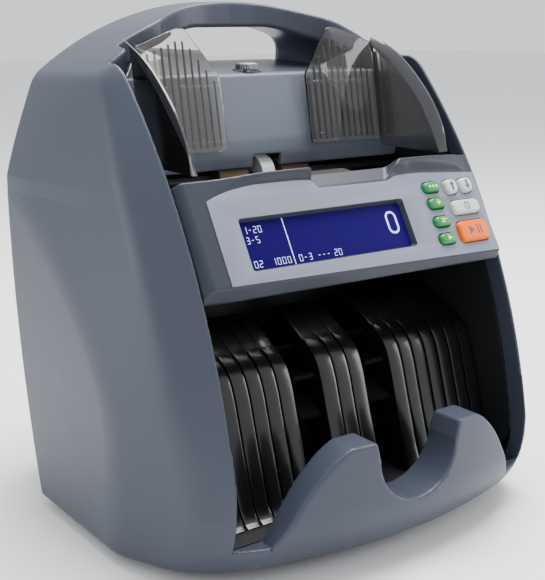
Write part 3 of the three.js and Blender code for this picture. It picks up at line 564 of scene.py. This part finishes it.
def panel_field(u, v, w):
    foot = label_top(u)
    rise = ridge_rise(u) * step(v, foot, ridge_foot(u) + 0.6)
    face = (w - rise) * 0.85
    top = (6.6 * (v - 62.6) - 1.3 * (w - 1)) / 6.73
    top = rounded(top, (6.4 * (v - 61.5) - 7.5 * (w + 5.6)) / 9.86, 1)
    chamfer = (label_bottom(u) - 0.4 - v + 0.72 * w) * 0.8
    under = (-1.6 - 0.9 * step(u, -104, -80) - v - (w + 5) * 0.75) * 0.8
    body = rounded(softened(face, chamfer, 0.8), top, 1.3)
    body = rounded(body, under, 1)
    level = -(w + (v - 51.8) * 0.554) / 1.143
    ramp = -(w - 2.34 * (u - 33.3) + 2.33 * (v - 51.8)) / 3.45
    notch = rounded(rounded(-17.2 - u, level, 1.6), ramp, 1.5)
    body = rounded(body, -notch, 0.9)
    body = rounded(body, -18 - w, 0.5)
    body = rounded(body, u - PANEL_HALF, 1.5)
    left_bevel = ((-96.2 - u) * 4.5 + w * 4) / 6.02
    body = rounded(body, left_bevel, 1.4)
    body = rounded(body, -PANEL_HALF - u, 0.5)
    centre_u, centre_v, half_u, half_v = SCREEN
    taper = 0.5 * np.minimum(w, 0)
    recess = rounded_box(u, v, centre_u, centre_v, half_u + taper, half_v + taper, SCREEN_CORNER)
    body = rounded(body, -np.maximum(recess, -8 - w), 0.4)
    for centre_u, centre_v, width, height, corner in KEYS.values():
        well = rounded_box(u, v, centre_u, centre_v, width / 2 + 0.5, height / 2 + 0.5, corner + 0.5)
        body = np.maximum(body, -np.maximum(well, -8 - w))
    cavity = np.maximum(np.abs(u) - PANEL_HALF + 3, np.maximum(w + 8, np.maximum(v - 50, 4 - v)))
    return np.maximum(body, -cavity)


# The panel shell takes the darker copy of the housing colour: painted shade.
moulded("panel_shell", panel_field, (-103, -8, -20), (103, 66, 6), 0.9, PANEL_SHADED_HOUSING, "housing", ("panel_housing",),
        origin=PANEL_ORIGIN, axes=PANEL_AXES)


def ring(centre_u, centre_v, width, height, radius, steps=8):
    """A rounded rectangle's outline, anticlockwise."""
    points = []
    for corner, (sign_u, sign_v) in enumerate(((1, 1), (-1, 1), (-1, -1), (1, -1))):
        for i in range(steps + 1):
            angle = (corner + i / steps) * math.pi / 2
            points.append((centre_u + sign_u * (width / 2 - radius) + radius * math.cos(angle),
                           centre_v + sign_v * (height / 2 - radius) + radius * math.sin(angle)))
    return points


label_right = 99.2
label_left = -85.3
across = np.linspace(label_left, label_right, 120)
label_edge = [(u, float(label_bottom(u))) for u in across]
label_edge += [(u, float(label_top(u)) - 0.3) for u in across[::-1]]
centre_u, centre_v, half_u, half_v = SCREEN
holes = [ring(centre_u, centre_v, 2 * half_u, 2 * half_v, SCREEN_CORNER)]
holes += [ring(u, v, width + 1, height + 1, corner + 0.5) for u, v, width, height, corner in KEYS.values()]
sheet("panel_label_sheet", [label_edge, *holes], 0.02, 0.4, 0.12, LABEL, "label", PANEL_ORIGIN, PANEL_AXES,
      ("panel_label",))

sheet("display_glass", [ring(centre_u, centre_v, 2 * half_u, 2 * half_v, 1)], -SCREEN_DEPTH - 1, -SCREEN_DEPTH,
      0.1, DISPLAY, "display", PANEL_ORIGIN, PANEL_AXES, ("display_window",))

# Seven-segment figures, with the lit bars in this order: top, upper right, lower right, bottom, lower left,
# upper left, middle.
FIGURES = {"0": "1111110", "1": "0110000", "2": "1101101", "3": "1111001", "5": "1011011", "-": "0000001"}
FIGURE_BAR = 0.42


def figure(mark, u, v, width, height, bar):
    """Outlines of a seven-segment figure whose lower left corner is at u, v."""
    right, top, middle, gap = u + width, v + height, v + height / 2, bar * 0.15
    inner, outer = u + bar, right - bar
    bars = [(inner, outer, top - bar, top), (outer, right, middle, top), (outer, right, v, middle),
            (inner, outer, v, v + bar), (u, inner, v, middle), (u, inner, middle, top),
            (inner, outer, middle - bar / 2, middle + bar / 2)]
    return [[(a + gap, c + gap), (b - gap, c + gap), (b - gap, d - gap), (a + gap, d - gap)]
            for lit, (a, b, c, d) in zip(FIGURES[mark], bars) if lit == "1"]


def writing(marks, u, v, width=2.2, height=3.8, pitch=3.0):
    outlines = []
    for i, mark in enumerate(marks):
        outlines += figure(mark, u + i * pitch, v, width, height, FIGURE_BAR)
    return outlines


shown = writing("1-20", -67.5, 32) + writing("3-5", -67.5, 26.5)
shown += writing("02", -67, 13.6) + writing("1000", -56, 13.6, pitch=3.2)
shown += writing("0-3", -39, 13.6) + writing("---", -27, 13.6) + writing("20", -16, 13.6)
shown.append([(-42.4, 12.6), (-41.9, 12.6), (-41.9, 38.2), (-42.4, 38.2)])
sheet("display_figures", shown, *PRINT_DEPTH, PRINT_EDGE, GLYPH, "display", PANEL_ORIGIN, PANEL_AXES)
sheet("display_count", [ring(29.5, 27.5, 7.6, 13.2, 3.6), ring(29.5, 27.5, 5.2, 10.8, 2.4)], *PRINT_DEPTH,
      PRINT_EDGE, GLYPH, "display", PANEL_ORIGIN, PANEL_AXES)


def key_field(width, height, corner):
    def field(u, v, w):
        lean = 0.16 * np.maximum(w, 0)
        side = rounded_box(u, v, 0, 0, width / 2 - lean, height / 2 - lean, corner)
        crown = KEY_PROUD - 0.9 * ((2 * u / width) ** 2 + (2 * v / height) ** 2) / 2
        return rounded(rounded(side, w - crown, 1.1), -4.6 - w, 0.3)

    return field


GREEN_KEY = (GREEN, "green_plastic")
WHITE_KEY = (WHITE, "white_plastic")
KEY_LOOKS = {"key_up": WHITE_KEY, "key_down": WHITE_KEY, "key_set": WHITE_KEY,
             "key_start": (ORANGE, "orange_plastic")}
for key, (u, v, width, height, corner) in KEYS.items():
    reach_u, reach_v = width / 2 + 1.5, height / 2 + 1.5
    finish, key_slot = KEY_LOOKS.get(key, GREEN_KEY)
    moulded(f"{key}_cap", key_field(width, height, corner), (-reach_u, -reach_v, -6), (reach_u, reach_v, 5), 0.5,
            finish, key_slot, (key,), key, origin=PANEL_ORIGIN + (u, v, 0) @ PANEL_AXES, axes=PANEL_AXES)


def arrow(turn):
    """An arrow that points up the panel for a turn of 1 and down it for -1."""
    outline = [(0, 2.9), (-1.9, 0.6), (-0.8, 0.6), (-0.8, -2.6), (0.8, -2.6), (0.8, 0.6), (1.9, 0.6)]
    return [(u, v * turn) for u, v in outline]


DARK_SIGN = (INK, "dark_plastic")
PALE_SIGN = (PALE_INK, "label")
SIGNS = {
    "key_up": ([arrow(1)], DARK_SIGN),
    "key_down": ([arrow(-1)], DARK_SIGN),
    "key_set": ([ring(0, 0, 4.4, 4.4, 2.1), ring(0, 0, 3.2, 3.2, 1.5), ring(0, 0, 1.2, 1.2, 0.5)], DARK_SIGN),
    "key_start": ([[(-4.5, -2.6), (-0.3, 0), (-4.5, 2.6)], [(1.6, -2.5), (2.7, -2.5), (2.7, 2.5), (1.6, 2.5)],
                   [(3.9, -2.5), (5, -2.5), (5, 2.5), (3.9, 2.5)]], DARK_SIGN),
    "key_green_1": ([ring(-2.4, 0, 1.5, 1.5, 0.6), ring(0, 0, 1.5, 1.5, 0.6), ring(2.4, 0, 1.5, 1.5, 0.6)],
                    PALE_SIGN),
    "key_green_2": ([[(-1.6, -0.4), (-0.4, -0.4), (-0.4, -1.6), (0.4, -1.6), (0.4, -0.4), (1.6, -0.4),
                      (1.6, 0.4), (0.4, 0.4), (0.4, 1.6), (-0.4, 1.6), (-0.4, 0.4), (-1.6, 0.4)]], PALE_SIGN),
    "key_green_3": ([[(-2.2, -1.2), (0, -1.2), (0, -0.4), (-2.2, -0.4)],
                     [(-2.2, 0.4), (2.2, 0.4), (2.2, 1.2), (-2.2, 1.2)]], PALE_SIGN),
    "key_green_4": ([[(-1.4, -1.5), (1.6, 0), (-1.4, 1.5)]], PALE_SIGN),
}
for key, (outlines, (finish, sign_slot)) in SIGNS.items():
    u, v = KEYS[key][:2]
    sheet(f"{key}_sign", outlines, KEY_PROUD - 0.28, KEY_PROUD + 0.03, PRINT_EDGE, finish, sign_slot,
          PANEL_ORIGIN + (u, v, 0) @ PANEL_AXES, PANEL_AXES, body=key)

# ---- stacker --------------------------------------------------------------------------------------
BLOCK_Y = [-85, -82, -79, -75.5, -71.8, -68, -64.3, -60.5, -56, -50.5, -44, -43.4, -37, -30, -21, -12]
BLOCK_Z = [22.8, 24.6, 28, 36, 48, 60, 72, 84, 93.5, 99, 103, 102.6, 106.2, 109.4, 112.4, 114.4]
BLOCK_REAR = -11
BLOCK_FOOT = 22.8
GROOVE_DEPTH = 1.4
SEAM_ROW = 10


def ribbed_block(name, x0, x1, ribs, node):
    """A stacker guide block: glossy ribs up its front and round its shoulder, flatter behind the seam."""
    steps = np.arange(len(BLOCK_Y))
    fine = np.linspace(0, len(BLOCK_Y) - 1, 76)
    y, z = curve(steps, BLOCK_Y, fine), curve(steps, BLOCK_Z, fine)
    run = np.hypot(np.gradient(y), np.gradient(z))
    out_y, out_z = -np.gradient(z) / run, np.gradient(y) / run
    share = np.where(fine < SEAM_ROW, 1.0, 0.35)
    pitch = (x1 - x0) / ribs
    stations = [x0, x0 + 0.4, x0 + 1.0]
    for i in range(1, ribs):
        groove = x0 + i * pitch
        stations += [groove + side * d for side in (-1, 1) for d in (0.5, 0.65, 1.0, 1.5, 2.2, 3.2, 4.2)]
    stations += [x1 - 1.0, x1 - 0.4, x1]
    rings = []
    for x in sorted(stations):
        middle = x0 + (np.floor((x - x0) / pitch - 1e-6) + 0.5) * pitch
        off = min(abs(x - middle) / (pitch / 2), 1.0)
        grooved = off > 1 - 1.15 / pitch and x0 + 2 < x < x1 - 2
        depth = 0.2 * off ** 2 + 0.35 * off ** 8 + (GROOVE_DEPTH if grooved else 0)
        inward_y, inward_z = y - out_y * depth * share, z - out_z * depth * share
        front = [(x, a, b) for a, b in zip(inward_y, inward_z)]
        rings.append([*front, (x, BLOCK_REAR, inward_z[-1]), (x, BLOCK_REAR, BLOCK_FOOT)])
    loft(name, rings, BLACK, "black_gloss", (node,), sharp=34)


ribbed_block("stacker_block_left", -INSIDE_HALF + 0.4, -35, 7, "guide_block_left")
ribbed_block("stacker_block_centre", -15, 15, 3, "guide_block_centre")
ribbed_block("stacker_block_right", 35, INSIDE_HALF - 0.4, 7, "guide_block_right")

sheet("stacker_back_wall", [ring(0, 88, 200, 128, 4)], 12, 13.4, 0.4, DARK, "dark_plastic",
      axes=((1, 0, 0), (0, 0, 1), (0, 1, 0)))

# ---- note guides ----------------------------------------------------------------------------------
LEAN = 0.194
GUIDE_LOW = 204
PLATE = 1.8


def guide_face(z):
    return 9.2 + LEAN * (z - GUIDE_LOW)


def softly(points, radius, steps=5):
    """An outline with its corners rounded."""
    points = [Vector(p) for p in points]
    out = []
    for i, corner in enumerate(points):
        before = (points[i - 1] - corner).normalized()
        after = (points[(i + 1) % len(points)] - corner).normalized()
        for k in range(steps + 1):
            t = k / steps
            out.append(tuple(corner + before * radius * (1 - t) ** 2 + after * radius * t ** 2))
    return out


SLOT_PITCH = 4.5
WING_X = 83.2
WING_THICK = 1.7
WING_STEPS = 30
BEND_ROW = 9                     # rows of the wing between the plate and the bend of its outer band
guide_outline = softly([(30, 204), (82, 204), (82, 262), (56, 271), (50, 271), (30, 244.5)], 1.6)
for side, sign in (("left", -1), ("right", 1)):
    lean_axes = ((sign, 0, 0), (0, LEAN, 1), (0, -1, 0))
    origin = (0, guide_face(0), 0)
    body = f"note_guide_{side}"
    sheet(f"{body}_plate", [guide_outline], 0.2, PLATE, 0.3, SMOKE, "smoke_plastic", origin, lean_axes, (body,), body)
    # Dark sheets just behind the plate at each slot: painted shade for the openings, which the plate itself does not
    # cut.
    slot_shade_outlines = []
    x = 33.5
    while x < 79:
        crest = 244.5 + (x - 30) * 1.325 if x < 50 else 271 - max(x - 56, 0) * 0.346
        slot_shade_outlines.append(ring(x, (206 + crest - 7) / 2, 0.76, crest - 7 - 206, 0.37))
        x += SLOT_PITCH
    sheet(f"{body}_slot_shades", slot_shade_outlines, -1.3, 0.15, 0.08, SLOT_SHADE, "smoke_plastic", origin, lean_axes, (), body)
    rails = [ring(56, z, 50, 0.8, 0.3) for z in (209.5, 240)]
    sheet(f"{body}_rail", rails, PLATE, PLATE + 0.35, 0.08, SMOKE, "smoke_plastic", origin, lean_axes, (), body)

    along = np.linspace(0, 1, WING_STEPS)
    stops = [0, 0.2, 0.4, 0.6, 0.8, 1]
    bend_y = curve(stops, [-45, -37, -24, -9, 6, 20], along)
    bend_z = curve(stops, [200, 211, 225, 239.5, 251.5, 261], along)
    rim_y = curve(stops, [-46.3, -43, -33.5, -19, -2, 22], along)
    rim_z = curve(stops, [200.6, 213, 228.5, 243, 255.5, 266.2], along)
    root_z = 200 + 62 * along
    root_y = guide_face(root_z) - 1
    sheets = []
    for thickness in (0.0, WING_THICK):
        rows = []
        for share in np.linspace(0, 1, BEND_ROW + 1):
            rows.append(np.stack([np.full(WING_STEPS, WING_X + thickness), root_y + (bend_y - root_y) * share,
                                  root_z + (bend_z - root_z) * share], 1))
        for share in np.linspace(0, 1, 9)[1:]:
            out = 3.6 * share ** 1.7
            band_x = WING_X + thickness * (1 - 0.3 * share) + np.full(WING_STEPS, out)
            rows.append(np.stack([band_x, bend_y + (rim_y - bend_y) * share, bend_z + (rim_z - bend_z) * share], 1))
        sheets.append(np.array(rows))
    inner, outer = sheets
    # The band takes the lighter copy of the wing's smoke: a painted highlight.
    for part, rows, finish in (("wing", slice(None, BEND_ROW + 1), SMOKE_DARK),
                               ("band", slice(BEND_ROW, None), SMOKE_BAND_HIGHLIGHT)):
        closed = np.concatenate([inner[rows], outer[rows][::-1]], 0)
        loft(f"{body}_{part}", closed.transpose(1, 0, 2) * (sign, 1, 1), finish, "smoke_plastic", (), body)

# ---- hopper ---------------------------------------------------------------------------------------
HOPPER_TOP = 245.2


def wall_field(x, y, z):
    face = curve([190, 192.5, 200, 207, 214, 230, 245], [13.3, 13, 12, 12.5, 14.1, 18.1, 21.5], z)
    slab = rounded(face - y, rounded(y - face - 3.0, z - HOPPER_TOP, 0.5), 1.8)
    slab = rounded(slab, rounded(192.3 - z, np.abs(x) - INSIDE_HALF, 0.2), 0.8)
    window = rounded(np.abs(x) - 10, z - 199.5, 0.8)
    return rounded(slab, -window, 0.6)


moulded("hopper_wall", wall_field, (-3, 8, 188), (103, 30, 249), 1.1, HOPPER, "housing", ("hopper_back_wall",),
        mirror=True)


def deck_field(x, y, z):
    top = 245.2 + (y - 24.4) * 0.0963 + 0.35 * (1 - (x / 60) ** 2)
    foot = 50.4 + (80 - y) * 0.62
    slab = rounded(rounded(z - top, 25.3 - y, 1.8), rounded(top - 2.8 - z, y - 79.5, 0.5), 0.5)
    well = np.hypot(x, y - 33) - 8.3
    return rounded(rounded(slab, (np.abs(x) - foot) * 0.85, 0.6), -rounded(well, top - 0.9 - z, 0.3), 0.4)


moulded("deck", deck_field, (-3, 20, 238), (92, 83, 254), 1.0, HOUSING, "housing", ("top_deck",), mirror=True)


def screw_field(x, y, z):
    radius, angle = np.hypot(x, y), np.arctan2(y, x)
    knurl = radius - 6.7 + 0.3 * (0.5 + 0.5 * np.cos(angle * 28))
    head = rounded(rounded(knurl, z - 4.1 + 0.012 * radius ** 2, 0.9), -z, 0.4)
    slot = np.maximum(np.abs(x * 0.8 + y * 0.6) - 0.8, 3.2 - z)
    stem = np.maximum(radius - 2, np.maximum(-9 - z, z - 1))
    return np.minimum(np.maximum(head, -slot), stem)


moulded("thumbscrew_knob", screw_field, (-9, -9, -10), (9, 9, 6.5), 0.4, KNOB, "steel", ("thumbscrew",),
        "thumbscrew", origin=(0, 33, 247.2))

# ---- back -----------------------------------------------------------------------------------------
HINGE_Y = 113
HINGE_Z = 66.5
DOOR_FOOT = 117.5
DOOR_BACK = [(DOOR_FOOT, 67), (124, 84), (125.1, 100), (125.1, 180), (121.5, 205), (112, 226), (97, 239), (84, 242)]
VENT_PITCH = 8


def door_form(x, y, z):
    form = joined(y - DOOR_FOOT, beside(y, z, *DOOR_BACK[0], *DOOR_BACK[1]), 3)
    for start, end in zip(DOOR_BACK[1:-1], DOOR_BACK[2:]):
        form = softened(form, beside(y, z, *start, *end), 4)
    corner = np.where((y > HINGE_Y) & (z < HINGE_Z), np.hypot(y - HINGE_Y, z - HINGE_Z) - 4.5, 62 - z)
    return rounded(rounded(form, np.abs(x) - 104, 5), corner, 0.8)


def door_field(x, y, z):
    form = door_form(x, y, z)
    swing = 1.3 * step(80 - z, 0, 16)
    shell = rounded(form, rear_edge(z) + 0.3 + swing - y, 0.8)
    shell = rounded(shell, -rounded(form + 3.2, HINGE_Z + 6 - z, 1), 0.5)
    row = np.abs((z - 116) % VENT_PITCH - VENT_PITCH / 2)
    slot = np.hypot(np.maximum(np.abs(np.abs(x) - 48) - 26, 0), row) - 1.5
    slot = np.maximum(slot, np.maximum(np.abs(z - 148) - 32, 123.4 - y))
    grip = np.sqrt((x / 26) ** 2 + ((y - 123.4) / 7) ** 2 + ((z - 214) / 7.5) ** 2) * 7 - 7
    shell = rounded(rounded(shell, -slot, 0.5), -grip, 1.5)
    shaft = np.hypot(y - HINGE_Y, z - HINGE_Z)
    lug = np.minimum(np.abs(x), np.abs(np.abs(x) - 92)) - 2.6
    return np.maximum(np.maximum(shell, 2.5 - shaft), -np.maximum(lug, shaft - 9.5))


moulded("rear_door_shell", door_field, (-3, 66, 58), (107, 128, 246), 1.3, HOUSING, "housing", ("rear_door",),
        "rear_door", mirror=True)

ROCKER = np.array((-25, 113, 31))
for sign_name, outlines, centre, lean in (
    ("off", [ring(0, 0, 3.4, 3.4, 1.6), ring(0, 0, 2.4, 2.4, 1.1)], (0, 4.5, -3.9), (-0.272, 0.962)),
    ("on", [ring(0, 0, 0.6, 3.2, 0.25)], (0, 5.0, 3.8), (0.388, 0.921)),
):
    along, up = lean
    sheet(f"rocker_{sign_name}_mark", outlines, -0.02, 0.08, 0.02, WHITE, "switch", ROCKER + centre,
          ((-1, 0, 0), (0, along, up), (0, up, -along)), body="power_rocker")

# ---- stage ----------------------------------------------------------------------------------------
for node, finish in {
    "rear_panel": HOUSING, "fan_wheel_left": VANE, "fan_wheel_right": VANE,
    "stacker_floor": DARK, "hopper_floor": DARK, "note_guide_plate": DARK, "feed_pulley": DARK, "fan_pulley": DARK,
    "power_inlet": DARK, "display_module": DARK, "foot_front_left": RUBBER, "foot_front_right": RUBBER,
    "foot_rear_left": RUBBER, "foot_rear_right": RUBBER, "feed_drum_left": RUBBER, "feed_drum_right": RUBBER,
    "feed_belt": RUBBER, "fan_belt": RUBBER, "gap_roller_left": TAN, "gap_roller_right": TAN, "counter_roller": WHITE,
    "feed_shaft": FRAME, "fan_shaft": FRAME, "counter_shaft": FRAME, "hinge_rod": STEEL, "feed_motor": STEEL,
    "stack_motor": STEEL, "feed_motor_pulley": STEEL, "stack_motor_pulley": STEEL, "base_plate": STEEL,
    "inner_frame_left": FRAME, "inner_frame_right": FRAME, "transformer": FRAME, "main_board": BOARD,
    "key_board": BOARD, "switch_rocker": BLACK,
}.items():
    mesh = nodes[node].data
    mesh.materials.clear()
    mesh.materials.append(finish)
    weld = nodes[node].modifiers.new("weld", "WELD")
    weld.merge_threshold = WELD_DISTANCE
    bevel = nodes[node].modifiers.new("bevel", "BEVEL")
    bevel.width = 0.0003
    bevel.segments = 2
    bevel.limit_method = "ANGLE"
    bevel.angle_limit = math.radians(35)

floor_mesh = bpy.data.meshes.new("floor")
reach = 6.0
corners = [(-reach, -reach, 0), (reach, -reach, 0), (reach, reach, 0), (-reach, reach, 0)]
floor_mesh.from_pydata(corners, [], [(0, 1, 2, 3)])
floor = bpy.data.objects.new("floor", floor_mesh)
bpy.context.scene.collection.objects.link(floor)
floor_mesh.materials.append(material("floor", (0.86, 0.86, 0.87), 0.6, mottle=0.01))


def area_light(name, at, target, size, power):
    data = bpy.data.lights.new(name, "AREA")
    data.shape = "RECTANGLE"
    data.size, data.size_y = size
    data.energy = power
    lamp = bpy.data.objects.new(name, data)
    bpy.context.scene.collection.objects.link(lamp)
    lamp.location = at
    lamp.rotation_euler = (Vector(target) - Vector(at)).to_track_quat("-Z", "Y").to_euler()


area_light("overhead", (0.25, 0.1, 1.3), (0, 0, 0.1), (0.9, 0.9), 46)
area_light("left", (-1.5, 0.6, 0.3), (0, 0, 0.1), (0.9, 0.8), 8.5)
area_light("right", (1.3, -0.75, 0.5), (0, -0.05, 0.08), (0.6, 0.8), 10)

world = bpy.data.worlds.new("studio")
world.use_nodes = True
world.node_tree.nodes["Background"].inputs["Color"].default_value = (0.96, 0.98, 1, 1)
world.node_tree.nodes["Background"].inputs["Strength"].default_value = 1.15
bpy.context.scene.world = world

AZIMUTH = math.radians(-35.67)
ELEVATION = math.radians(14.06)
camera_data = bpy.data.cameras.new("camera")
camera_data.lens = 68.65
camera_data.sensor_width = 36
camera = bpy.data.objects.new("camera", camera_data)
bpy.context.scene.collection.objects.link(camera)
camera.location = (-0.3739, -0.5140, 0.2823)
level = math.cos(ELEVATION)
back = Vector((math.sin(AZIMUTH) * level, -math.cos(AZIMUTH) * level, math.sin(ELEVATION)))
camera.rotation_mode = "QUATERNION"
camera.rotation_quaternion = (-back).to_track_quat("-Z", "Y")
bpy.context.scene.camera = camera
